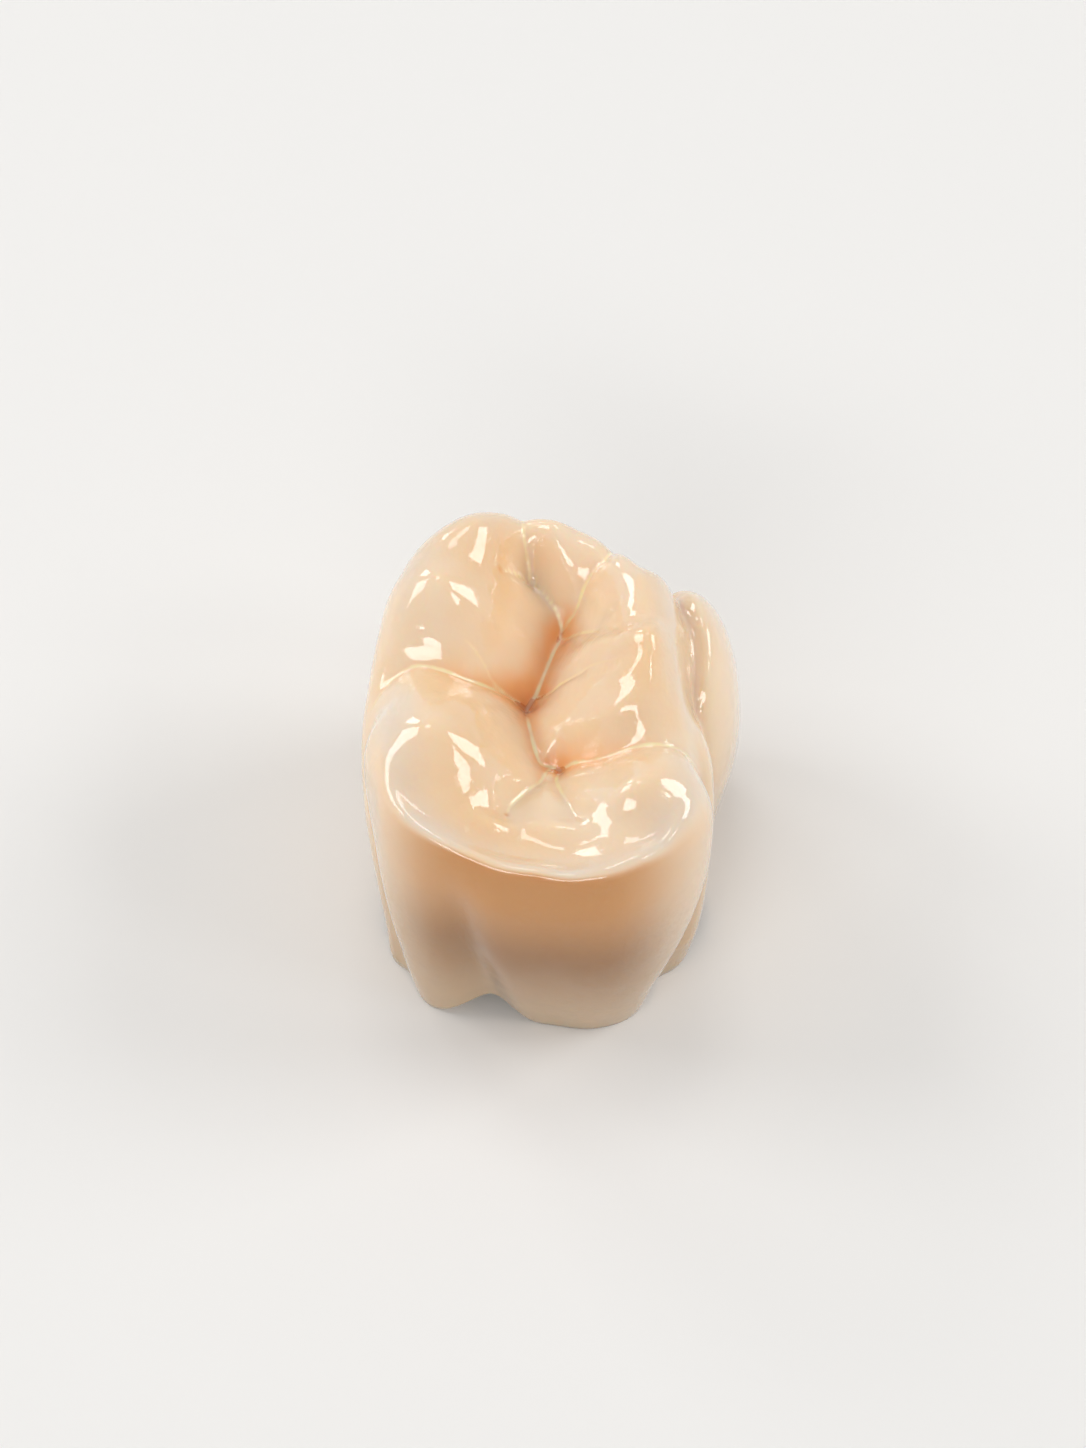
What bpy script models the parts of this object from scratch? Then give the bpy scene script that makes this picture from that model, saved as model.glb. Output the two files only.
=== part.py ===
"""Full-contour ceramic crown for an upper first molar: one glazed shell.

x runs from the cheek side (-) to the palate side (+), y from the back contact
(-) to the front contact (+), z up from the margin. The outside is a chewing
surface laid over an axial wall; the inside is the cap that seats on the stump.
"""
import bpy
import bmesh
import numpy as np

for item in list(bpy.data.objects):
    bpy.data.objects.remove(item, do_unlink=True)

MM = 0.001

# Driving dimensions of the finished crown
CROWN_BREADTH = 10.2 * MM     # cheek side to palate side, over both bulges
CROWN_LENGTH = 12.4 * MM      # contact point to contact point
CROWN_HEIGHT = 9.1 * MM       # margin to the tip of the front cheek cusp

# Driving dimensions of the hollow and its margin
MARGIN_LAND = 0.18 * MM       # flat ring the crown stands on
SHOULDER_WIDTH = 0.85 * MM    # land included, measured inward at the margin
SHOULDER_RISE = 0.45 * MM
SHOULDER_WAVES = 6            # bends of the margin that the shoulder line still follows
SHOULDER_LEAST = 0.65 * MM    # width left where a furrow comes in
SHOULDER_EASING = 14.0        # degrees over which the line moves in for a furrow
STUMP_HEIGHT = 3.9 * MM       # margin to the flat seat
STUMP_TAPER = 7.0             # degrees, one side
SEAT_FILLET = 0.55 * MM

# Fissure sizes
FISSURE_CUT = 0.12 * MM       # fine cut along the floor of each valley
FISSURE_BREADTH = 0.14 * MM

# Mesh
CORE_STEPS = 88                # cells across the middle of the chewing surface
CORE_PART = 0.5                # of the way from the middle to the margin
SURFACE_RINGS = 78             # rings from there down to the margin
HOLLOW_WALL_RINGS = 7
TRIANGLE_BUDGET = 11800

# The form below is surveyed in millimetres on a crown of these sizes and is
# stretched to the driving dimensions above.
SURVEY_BREADTH, SURVEY_LENGTH, SURVEY_HEIGHT = 10.2, 12.4, 9.1

# Chewing surface before the fissures: x, y, height
CUSP_TIPS = {
    "front_cheek": (-2.95, 3.3, 9.0),
    "front_cheek_lobe": (-2.0, 5.4, 8.95),
    "front_ridge_tubercle": (0.0, 5.9, 8.4),
    "front_palate_shoulder": (2.4, 4.5, 8.7),
    "front_palate": (2.75, 1.3, 8.9),
    "back_palate": (2.55, -2.7, 8.0),
    "back_cheek": (-3.3, -1.3, 8.4),
}
RIDGE_LEVELS = [
    (-4.2, -2.6, 7.35), (-3.3, -3.95, 7.2), (-2.0, -4.7, 7.15), (-0.4, -5.1, 7.1), (1.1, -5.2, 7.1),
    (2.4, -4.8, 7.12), (3.3, -3.5, 7.25), (-4.3, 1.2, 7.7), (3.6, -0.8, 7.5), (3.45, 1.4, 7.95),
    (3.4, 2.8, 8.0), (3.1, 4.2, 8.05),
]
FOSSA_LEVELS = [
    (-0.5, 1.6, 6.9), (0.25, 3.4, 7.0), (-0.5, 5.0, 7.65), (-0.4, -0.2, 7.0), (0.2, -1.1, 6.9),
    (-0.5, -2.3, 6.85), (0.4, -4.2, 6.72), (-1.5, -3.9, 6.82),
]
SLOPE_LEVELS = [
    (-1.7, 2.9, 8.05), (1.2, 0.3, 7.85), (-1.9, -0.5, 7.85), (1.3, -2.2, 7.4), (-2.6, 4.3, 8.7),
    (-1.4, 5.0, 8.5), (-3.25, -2.95, 7.5), (2.7, -3.75, 7.2),
]
RIM_LEVELS = [
    (-5.6, 3.4, 7.6), (-4.4, 6.4, 7.4), (-1.2, 7.8, 7.4), (2.2, 7.0, 6.8), (4.6, 4.6, 5.6),
    (4.6, 1.2, 5.9), (4.8, -2.6, 6.6), (-6.0, -1.2, 7.2), (-4.6, -4.8, 6.8), (0.0, -6.6, 6.6),
    (3.0, -6.0, 6.5),
]

# Ridges that run from the cusps to the fossae: points, height along them, half width
RIDGES = {
    "front_cheek": ([(-3.0, 3.25), (-2.1, 3.15), (-1.35, 3.0), (-0.8, 2.9), (-0.45, 3.0)],
                    [0.0, 0.12, 0.2, 0.15, 0.0], 0.75),
    "front_palate": ([(2.65, 1.75), (2.6, 0.9), (2.35, 0.0), (1.55, -0.35), (0.95, -0.3), (0.0, -0.45)],
                     [0.1, 0.22, 0.28, 0.28, 0.2, 0.0], 0.48),
    "front_palate_lobe": ([(2.3, 1.35), (1.6, 1.5), (1.1, 1.9), (0.6, 2.35)],
                          [0.08, 0.2, 0.22, 0.08], 0.36),
    "front_palate_shoulder": ([(2.4, 3.25), (1.95, 2.75), (1.5, 2.6)], [0.05, 0.12, 0.08], 0.5),
    "back_cheek": ([(-3.7, -1.55), (-2.9, -1.5), (-1.9, -1.55), (-1.1, -1.1)],
                   [0.0, 0.12, 0.16, 0.08], 0.75),
    "back_palate": ([(2.6, -2.85), (2.0, -2.9), (1.5, -2.7), (0.9, -2.3)], [0.0, 0.1, 0.12, 0.05], 0.45),
    "back_rim": ([(-4.55, -1.5), (-4.4, -2.45), (-3.85, -3.4), (-3.0, -4.1), (-1.7, -4.65),
                  (-0.35, -4.95), (1.1, -5.05), (2.35, -4.6), (3.2, -3.85), (3.85, -2.85)],
                 [0.1, 0.26, 0.26, 0.24, 0.15, 0.1, 0.1, 0.2, 0.26, 0.1], 0.3),
    "front_tubercle": ([(0.05, 6.0), (0.15, 5.4), (0.35, 4.75)], [0.1, 0.3, 0.2], 0.45),
    "centre_tubercle": ([(-0.35, -3.2), (0.2, -3.35), (0.8, -3.4)], [0.15, 0.24, 0.12], 0.35),
    "left_tubercle": ([(-1.95, -3.15), (-1.5, -3.3), (-1.05, -3.25)], [0.08, 0.2, 0.1], 0.28),
}
# Small tubercles: x, y, height, radius
TUBERCLES = [
    (0.25, -2.6, 0.08, 0.6), (2.05, -2.85, 0.15, 0.4), (-0.05, -1.05, 0.12, 0.2),
]

# Fissures: points, half width of the valley, depth along it
FISSURES = {
    "cheek": ([(-0.65, 1.55), (-0.95, 1.6), (-1.55, 1.5), (-2.3, 1.4), (-2.85, 1.45), (-3.5, 1.55),
               (-3.95, 1.45), (-4.5, 1.05), (-5.3, 0.1)], 0.75, [1.05, 1.0, 0.95, 0.85, 0.75, 0.65, 0.6, 0.5, 0.45]),
    "front": ([(-0.8, 7.2), (-0.75, 6.05), (-0.7, 5.6), (-0.6, 5.3), (-0.5, 5.05)],
              0.4, [0.4, 0.42, 0.5, 0.6, 0.85]),
    "middle_front": ([(-0.5, 5.05), (-0.35, 4.9), (-0.1, 4.6), (0.2, 4.2), (0.3, 3.95)],
                     0.7, [0.9, 0.95, 0.95, 0.95, 0.95]),
    "middle": ([(0.3, 3.95), (0.2, 3.5), (0.1, 3.25), (-0.05, 2.8), (-0.25, 2.2), (-0.4, 1.9),
                (-0.65, 1.55)],
               0.8, [0.95, 1.0, 1.0, 1.0, 1.0, 1.0, 1.05]),
    "middle_back": ([(-0.65, 1.55), (-0.65, 1.15), (-0.55, 0.4), (-0.4, -0.35), (-0.25, -0.65),
                     (0.0, -0.65), (0.25, -0.75)], 0.75, [1.05, 1.0, 0.9, 0.85, 0.85, 0.85, 0.85]),
    "back_palate": ([(0.25, -0.75), (0.6, -0.8), (1.1, -0.95), (1.55, -1.05), (2.35, -1.05), (3.05, -1.0),
                     (3.65, -0.95), (4.1, -1.25), (4.9, -1.8)],
                    0.7, [0.85, 0.85, 0.85, 0.8, 0.7, 0.6, 0.6, 0.6, 0.6]),
    "front_palate": ([(0.3, 3.7), (0.45, 3.5), (0.7, 3.3), (1.1, 2.85), (1.3, 2.6), (1.65, 2.2),
                      (1.85, 1.85)],
                     0.5, [0.95, 0.8, 0.65, 0.5, 0.4, 0.25, 0.0]),
    "palate_branch": ([(-0.4, 1.85), (0.0, 1.65), (0.3, 1.65), (0.8, 1.5), (1.0, 1.45), (1.7, 1.1),
                       (2.5, 0.9)],
                      0.4, [0.95, 0.6, 0.5, 0.4, 0.35, 0.25, 0.0]),
    "cheek_branch": ([(-1.0, 1.6), (-1.5, 1.65), (-1.8, 1.9), (-2.15, 2.1), (-2.75, 2.2)],
                     0.45, [0.8, 0.45, 0.35, 0.25, 0.0]),
    "front_cheek_branch": ([(-0.5, 5.05), (-0.75, 4.95), (-1.1, 4.75), (-1.35, 4.5), (-1.85, 4.3)],
                           0.4, [0.85, 0.65, 0.5, 0.3, 0.0]),
    "front_branch": ([(0.3, 3.95), (0.65, 4.05), (0.9, 4.4), (1.15, 4.65), (1.5, 4.9), (1.8, 5.8),
                      (2.0, 6.6)],
                     0.36, [0.95, 0.75, 0.62, 0.55, 0.5, 0.45, 0.4]),
    "back_left": ([(0.0, -0.65), (-0.25, -1.3), (-0.5, -1.65), (-1.0, -2.3), (-1.15, -2.75),
                   (-1.2, -3.3)],
                  0.45, [0.85, 0.7, 0.6, 0.5, 0.3, 0.0]),
    "back_right": ([(0.25, -0.75), (0.15, -1.3), (0.25, -1.8), (0.45, -2.35), (0.65, -2.9), (0.9, -3.35)],
                   0.4, [0.85, 0.6, 0.5, 0.4, 0.25, 0.0]),
}
VALLEY_BLEND = 4.0
VALLEY_FLOOR = 0.09            # rounding along the floor of each valley

# Axial wall: bearing in degrees from the palate side, distance from the axis
BULGE_HEIGHT = 5.4
BULGE_OUTLINE = [
    (-10, 4.45), (15, 4.15), (40, 5.1), (54, 5.75), (62, 5.5), (72, 6.1), (90, 6.75), (105, 7.1),
    (120, 6.9),
    (135, 6.2), (150, 5.5), (180, 5.05), (192, 5.1), (204, 5.2), (215, 5.42), (232, 5.52), (250, 5.45),
    (270, 5.45), (288, 5.7), (305, 5.48), (325, 5.12), (340, 4.58),
]
MARGIN_OUTLINE = [
    (-15, 4.3), (7, 4.05), (33, 4.5), (54, 5.1), (76, 5.1), (98, 5.2), (117, 5.6), (135, 5.5), (155, 4.8),
    (180, 4.25), (201, 4.7), (222, 5.4), (235, 5.28), (251, 4.75), (268, 4.8), (285, 5.1), (300, 5.02),
    (316, 4.65), (330, 4.4),
]
SHOULDER_CURL = 0.045         # how fast the wall turns in above the bulge
BACK_CURL = 0.11              # the same on the flat face below the back rim
# Furrows down the wall: heights, bearing and depth at each, half width in degrees
WALL_FURROWS = {
    "back": ([0, 3, 5.2, 6.8], [252, 245.5, 243, 242], [0.32, 0.36, 0.25, 0.0], 7.5),
    "cheek": ([0, 2, 5, 6.8, 9], [220.5, 211.5, 196, 177, 172], [0.42, 0.45, 0.35, 0.25, 0.1], 7.5),
    "palate": ([0, 1, 2.5, 4, 5.5, 9], [309, 312, 325, 335, 345, 352],
               [0.42, 0.45, 0.5, 0.45, 0.35, 0.15], 8.5),
    "front": ([0, 3, 6, 9], [86, 86, 84, 82], [0.40, 0.30, 0.1, 0.0], 16.0),
}
# Where the margin rises off the ground: bearing, rise, half width in degrees
MARGIN_RISES = {
    "back": (249.5, 0.82, 10.5), "front": (90, 0.9, 20.0), "cheek": (194, 0.45, 13.0),
    "palate": (335, 0.4, 13.0), "back_cheek_corner": (221, 0.15, 5.0), "back_palate_corner": (304, 0.25,
                                                                                              6.0),
}
MARGIN_DROP = 0.06            # taken off all round, so that the lobes stand flat
# Fifth cusp on the palate side: centre, half axes, and how it runs out downward
FIFTH_CUSP_CENTRE = (3.6, 3.0, 3.6)
FIFTH_CUSP_RADII = (1.55, 2.75, 4.0)
FIFTH_CUSP_BELOW = 3.9
FIFTH_CUSP_BLEND = (0.12, 1.0)  # along its groove, and at its foot
FIFTH_CUSP_FOOT, FIFTH_CUSP_NECK = 1.5, 4.0  # heights between which the one turns into the other
# Groove that parts it from the cusps: x, y along it, depth, half width, and where it runs out
FIFTH_CUSP_GROOVE = (
    [(3.3, 4.5), (3.6, 3.4), (3.76, 2.8), (3.82, 2.2), (3.79, 1.6), (3.74, 0.9), (3.75, 0.1),
     (3.85, -0.6), (4.05, -1.1)],
    [0.1, 0.15, 0.15, 0.15, 0.15, 0.15, 0.12, 0.1, 0.05], 0.25)
GROOVE_END = (3.5, 5.0)
# Rounding between the chewing surface and the wall, sharp along the back rim
RIM_ROUNDING, BACK_RIM_ROUNDING = 1.1, 0.22
CHEWING_SHARE = 0.8           # weight of the chewing surface's height where it meets the wall
BACK_BEARING, BACK_RIM_SPAN, BACK_CURL_SPAN = 264.0, 60.0, 32.0

# Rays that find the outside start on a flat spine inside the crown
SPINE_LEVEL, SPINE_REACH, SPINE_EXTENT, TURN_START = 2.0, 0.66, 0.72, 0.35


def round_outline(table, bearing):
    """Smooth closed outline through pairs of bearing and distance."""
    angle = np.radians(np.array([pair[0] for pair in table], float)) % (2 * np.pi)
    order = np.argsort(angle)
    angle = angle[order]
    reach = np.array([pair[1] for pair in table], float)[order]
    angle = np.concatenate([angle[-3:] - 2 * np.pi, angle, angle[:3] + 2 * np.pi])
    reach = np.concatenate([reach[-3:], reach, reach[:3]])
    slope = np.gradient(reach, angle)
    at = np.asarray(bearing) % (2 * np.pi)
    low = np.clip(np.searchsorted(angle, at) - 1, 0, len(angle) - 2)
    span = angle[low + 1] - angle[low]
    s = (at - angle[low]) / span
    return ((2 * s**3 - 3 * s**2 + 1) * reach[low] + (s**3 - 2 * s**2 + s) * span * slope[low]
            + (3 * s**2 - 2 * s**3) * reach[low + 1] + (s**3 - s**2) * span * slope[low + 1])


def smooth_path(points, pieces=6):
    """Points along a smooth curve through the ones given."""
    p = np.array(points, float)
    e = np.vstack([2 * p[0] - p[1], p, 2 * p[-1] - p[-2]])
    path = []
    for k in range(1, len(e) - 2):
        for s in np.linspace(0, 1, pieces, endpoint=False):
            path.append(0.5 * (2 * e[k] + (e[k + 1] - e[k - 1]) * s
                               + (2 * e[k - 1] - 5 * e[k] + 4 * e[k + 1] - e[k + 2]) * s**2
                               + (3 * e[k] - e[k - 1] - 3 * e[k + 1] + e[k + 2]) * s**3))
    path.append(e[-2])
    return np.array(path)


def sheet_through(levels):
    """Weights of the thin plate that passes through the levels."""
    p = np.array(levels, float)
    d = np.hypot(p[:, None, 0] - p[None, :, 0], p[:, None, 1] - p[None, :, 1])
    bend = np.where(d > 0, d**2 * np.log(np.maximum(d, 1e-9)), 0) + 0.02 * np.eye(len(p))
    flat = np.hstack([np.ones((len(p), 1)), p[:, :2]])
    system = np.block([[bend, flat], [flat.T, np.zeros((3, 3))]])
    return p, np.linalg.solve(system, np.concatenate([p[:, 2], np.zeros(3)]))


def sheet_height(sheet, x, y):
    p, weight = sheet
    z = weight[-3] + weight[-2] * x + weight[-1] * y
    for (px, py, _), w in zip(p, weight[:-3]):
        d2 = (x - px) ** 2 + (y - py) ** 2
        z = z + w * 0.5 * d2 * np.log(np.maximum(d2, 1e-18))
    return z


def path_distance(path, x, y):
    """Distance to each stretch of a path, with the path's value at the foot."""
    for a, b in zip(path[:-1], path[1:]):
        run = b[:2] - a[:2]
        t = np.clip(((x - a[0]) * run[0] + (y - a[1]) * run[1]) / (run @ run), 0, 1)
        yield np.hypot(x - a[0] - t * run[0], y - a[1] - t * run[1]), a[2] + t * (b[2] - a[2])


def chewing_height(x, y):
    """Height of the chewing surface, in survey millimetres."""
    levels = list(CUSP_TIPS.values()) + RIDGE_LEVELS + FOSSA_LEVELS + SLOPE_LEVELS + RIM_LEVELS
    z = sheet_height(sheet_through(levels), x, y)
    for points, rise, width in RIDGES.values():
        crest = np.zeros_like(x)
        for d, h in path_distance(smooth_path(np.column_stack([np.array(points, float), rise])), x, y):
            crest = np.maximum(crest, h * np.exp(-(d / width) ** 2))
        z = z + crest
    for px, py, rise, radius in TUBERCLES:
        z = z + rise * np.exp(-(((x - px) ** 2 + (y - py) ** 2) / radius**2) ** 1.3)
    valley = np.zeros_like(x)
    cut = np.zeros_like(x)
    for points, width, depth in FISSURES.values():
        deep = np.zeros_like(x)
        for d, h in path_distance(smooth_path(np.column_stack([np.array(points, float), depth])), x, y):
            h = np.maximum(h, 0)
            off_floor = np.hypot(d, VALLEY_FLOOR) - VALLEY_FLOOR
            deep = np.maximum(deep, h * np.exp(-off_floor / width))
            cut = np.maximum(cut, np.minimum(2 * h, 1) * np.exp(-(d * MM / FISSURE_BREADTH) ** 2))
        valley += deep**VALLEY_BLEND
    return z - valley ** (1 / VALLEY_BLEND) - FISSURE_CUT / MM * cut


def margin_height(bearing):
    z = np.full_like(bearing, -MARGIN_DROP)
    for centre, rise, width in MARGIN_RISES.values():
        away = (np.degrees(bearing) - centre + 180) % 360 - 180
        z = z + rise * np.exp(-(away / width) ** 2)
    return np.maximum(z, 0)


def back_share(bearing, span):
    """1 where the outside faces the back, 0 elsewhere."""
    away = (np.degrees(bearing) - BACK_BEARING + 180) % 360 - 180
    return 1 / (1 + (away / span) ** 6)


def wall_reach(bearing, z):
    """Distance of the axial wall from the axis."""
    bulge, foot = round_outline(BULGE_OUTLINE, bearing), round_outline(MARGIN_OUTLINE, bearing)
    t = np.clip(z / BULGE_HEIGHT, -0.2, 1)
    curl = SHOULDER_CURL + (BACK_CURL - SHOULDER_CURL) * back_share(bearing, BACK_CURL_SPAN)
    reach = foot + (bulge - foot) * (1 - (1 - t) ** 2) - curl * np.maximum(z - BULGE_HEIGHT, 0) ** 2
    for heights, centres, depths, width in WALL_FURROWS.values():
        away = (np.degrees(bearing) - np.interp(z, heights, centres) + 180) % 360 - 180
        reach = reach - np.interp(z, heights, depths) * np.exp(-(away / width) ** 2)
    return reach


def blend_max(a, b, size):
    overlap = np.maximum(size - np.abs(a - b), 0) / size
    return np.maximum(a, b) + overlap * overlap * size / 4


class SampledHeight:
    """Chewing surface sampled once on a fine net, then read between samples."""

    def __init__(self, step=0.04, half=8.0):
        line = np.linspace(-half, half, int(2 * half / step) + 1)
        self.half, self.step = half, line[1] - line[0]
        x, y = np.meshgrid(line, line, indexing="ij")
        self.z = chewing_height(x, y)

    def __call__(self, x, y):
        i = np.clip((x + self.half) / self.step, 0, len(self.z) - 1.001)
        j = np.clip((y + self.half) / self.step, 0, len(self.z) - 1.001)
        a, b = i.astype(int), j.astype(int)
        s, t = i - a, j - b
        z = self.z
        return (z[a, b] * (1 - s) * (1 - t) + z[a + 1, b] * s * (1 - t)
                + z[a, b + 1] * (1 - s) * t + z[a + 1, b + 1] * s * t)


def outside(p, chewing):
    """Negative inside the crown's outer form, positive outside it."""
    x, y, z = p[..., 0], p[..., 1], p[..., 2]
    bearing = np.arctan2(y, x)
    above = (z - chewing(x, y)) * CHEWING_SHARE
    beyond = np.hypot(x, y) - wall_reach(bearing, z)
    size = RIM_ROUNDING - (RIM_ROUNDING - BACK_RIM_ROUNDING) * back_share(bearing, BACK_RIM_SPAN)
    body = blend_max(above, beyond, size)
    (cx, cy, cz), (rx, ry, rz) = FIFTH_CUSP_CENTRE, FIFTH_CUSP_RADII
    tall = np.where(z < cz, FIFTH_CUSP_BELOW, rz)
    lobe = (np.sqrt(((x - cx) / rx) ** 2 + ((y - cy) / ry) ** 2 + ((z - cz) / tall) ** 2) - 1) * rx
    merge = np.interp(z, [FIFTH_CUSP_FOOT, FIFTH_CUSP_NECK], [FIFTH_CUSP_BLEND[1], FIFTH_CUSP_BLEND[0]])
    points, depths, width = FIFTH_CUSP_GROOVE
    groove = np.zeros_like(x)
    for d, h in path_distance(smooth_path(np.column_stack([np.array(points, float), depths]), 2), x, y):
        groove = np.maximum(groove, h * np.exp(-(d / width) ** 2))
    return groove * np.interp(z, GROOVE_END, [0, 1]) - blend_max(-body, -lobe, merge)


def surface_along(start, direction, chewing):
    """Where rays from inside meet the outer form."""
    near, far = np.zeros(direction.shape[:-1]), np.full(direction.shape[:-1], 12.0)
    for _ in range(26):
        middle = (near + far) / 2
        within = outside(start + middle[..., None] * direction, chewing) < 0
        near, far = np.where(within, middle, near), np.where(within, far, middle)
    return start + ((near + far) / 2)[..., None] * direction


def bent_onto_disk(u, v):
    """Distance from the middle and bearing of places on a square net bent onto a disk."""
    wide = np.abs(u) >= np.abs(v)
    with np.errstate(divide="ignore", invalid="ignore"):
        reach = np.where(wide, u, v)
        turn = np.where(wide, np.pi / 4 * np.where(u != 0, v / u, 0),
                        np.pi / 2 - np.pi / 4 * np.where(v != 0, u / v, 0))
    x, y = reach * np.cos(turn), reach * np.sin(turn)
    return np.hypot(x, y), np.arctan2(y, x)


def surface_points(reach, bearing, chewing):
    """Points of the outside; reach runs from 0 in the middle to 1 at the margin."""
    low = margin_height(bearing)
    zero = np.zeros_like(bearing)
    level = np.stack([np.cos(bearing), np.sin(bearing), zero], -1)
    foot = surface_along(np.stack([zero, zero, low], -1), level, chewing)
    rim = SPINE_REACH * round_outline(BULGE_OUTLINE, bearing)
    full_turn = np.pi / 2 + np.arctan2(SPINE_LEVEL - low, np.hypot(foot[..., 0], foot[..., 1]) - rim)
    part = np.clip((reach - TURN_START) / (1 - TURN_START), 0, 1)
    turn = full_turn * (0.35 * part**2 * (3 - 2 * part) + 0.65 * part**1.35)
    spine = rim * (1 - (1 - np.clip(reach / SPINE_EXTENT, 0, 1)) ** 1.6)
    start = np.stack([spine * np.cos(bearing), spine * np.sin(bearing), zero + SPINE_LEVEL], -1)
    direction = np.stack([np.sin(turn) * np.cos(bearing), np.sin(turn) * np.sin(bearing), np.cos(turn)],
                         -1)
    return surface_along(start, direction, chewing)


def stretch(points):
    """Survey millimetres to metres at the driving size."""
    return points * np.array([CROWN_BREADTH / SURVEY_BREADTH, CROWN_LENGTH / SURVEY_LENGTH,
                              CROWN_HEIGHT / SURVEY_HEIGHT])


def hollow_rings(border):
    """Rings of the margin land, the shoulder and the tapered inner wall."""
    reach = np.hypot(border[:, 0], border[:, 1])
    unit = border[:, :2] / reach[:, None]
    wave = np.fft.rfft(reach)
    wave[SHOULDER_WAVES:] = 0
    even = np.fft.irfft(wave, len(reach))
    low = border[:, 2]
    over = np.maximum(even - SHOULDER_WIDTH - (reach - SHOULDER_LEAST), 0)
    near = range(-round(SHOULDER_EASING / 360 * len(reach)), round(SHOULDER_EASING / 360 * len(reach)) + 1)
    over = np.max([np.roll(over, k) for k in near], axis=0)
    shoulder = even - SHOULDER_WIDTH - np.mean([np.roll(over, k) for k in near], axis=0)
    top = STUMP_HEIGHT - SEAT_FILLET
    rings = [(reach - MARGIN_LAND, low)]
    for s in (0.35, 0.7, 1.0):
        turn = s * np.pi / 2
        rings.append((reach - MARGIN_LAND - (reach - MARGIN_LAND - shoulder) * np.sin(turn),
                      low + SHOULDER_RISE * (1 - np.cos(turn))))
    foot = low + SHOULDER_RISE
    lean = np.tan(np.radians(STUMP_TAPER))
    for k in range(1, HOLLOW_WALL_RINGS + 1):
        z = foot + (top - foot) * k / HOLLOW_WALL_RINGS
        rings.append((shoulder - lean * (z - foot), z))
    wall_top = shoulder - lean * (top - foot)
    for s in (1 / 3, 2 / 3, 1.0):
        turn = s * np.pi / 2
        rings.append((wall_top - SEAT_FILLET * (1 - np.cos(turn)),
                      top + SEAT_FILLET * np.sin(turn) + 0 * low))
    return [np.column_stack([unit * r[:, None], z]) for r, z in rings]


def crown_mesh():
    """A net over the chewing surface whose border is extruded down the wall and up into the hollow."""
    chewing = SampledHeight()
    shell = bmesh.new()
    spoke = shell.verts.layers.int.new("spoke")
    bmesh.ops.create_grid(shell, x_segments=CORE_STEPS, y_segments=CORE_STEPS, size=1.0)
    flat = np.array([tuple(vert.co) for vert in shell.verts])
    reach, bearing = bent_onto_disk(flat[:, 0], flat[:, 1])
    for vert, place in zip(shell.verts, stretch(surface_points(reach * CORE_PART, bearing, chewing))):
        vert.co = place
    border = [edge for edge in shell.edges if edge.is_boundary]
    rim = sorted({vert for edge in border for vert in edge.verts}, key=lambda vert: bearing[vert.index])
    round_bearing = np.array([bearing[vert.index] for vert in rim])
    for number, vert in enumerate(rim):
        vert[spoke] = number
    ring_reach = np.linspace(CORE_PART, 1, SURFACE_RINGS + 1)[1:, None]
    skirt = stretch(surface_points(ring_reach + 0 * round_bearing, round_bearing + 0 * ring_reach, chewing))
    for ring in list(skirt) + hollow_rings(skirt[-1]):
        drawn = bmesh.ops.extrude_edge_only(shell, edges=border)["geom"]
        fresh = {part for part in drawn if isinstance(part, bmesh.types.BMVert)}
        edges = [part for part in drawn if isinstance(part, bmesh.types.BMEdge)]
        border = [edge for edge in edges if set(edge.verts) <= fresh]
        for vert in fresh:
            vert.co = ring[vert[spoke]]
    bmesh.ops.contextual_create(shell, geom=border)
    low, high = (pick([tuple(vert.co) for vert in shell.verts], axis=0) for pick in (np.min, np.max))
    bmesh.ops.translate(shell, verts=shell.verts, vec=(-(low[0] + high[0]) / 2, -(low[1] + high[1]) / 2,
                                                       0))
    bmesh.ops.triangulate(shell, faces=shell.faces)
    bmesh.ops.recalc_face_normals(shell, faces=shell.faces)
    mesh = bpy.data.meshes.new("ceramic_crown")
    shell.to_mesh(mesh)
    shell.free()
    return mesh


group = bpy.data.collections.new("dental_crown")
bpy.context.scene.collection.children.link(group)

glaze = bpy.data.materials.new("glazed_ceramic")
glaze.use_nodes = True
surface = glaze.node_tree.nodes["Principled BSDF"]
surface.inputs["Base Color"].default_value = (0.85, 0.68, 0.48, 1.0)
surface.inputs["Roughness"].default_value = 0.12
surface.inputs["IOR"].default_value = 1.52

crown = bpy.data.objects.new("ceramic_crown", crown_mesh())
group.objects.link(crown)
crown.data.materials.append(glaze)

fewer = crown.modifiers.new("triangle_budget", "DECIMATE")
fewer.ratio = TRIANGLE_BUDGET / len(crown.data.polygons)
fewer.use_collapse_triangulate = True
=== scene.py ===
"""A glazed ceramic crown for an upper molar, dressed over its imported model."""
import math

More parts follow.
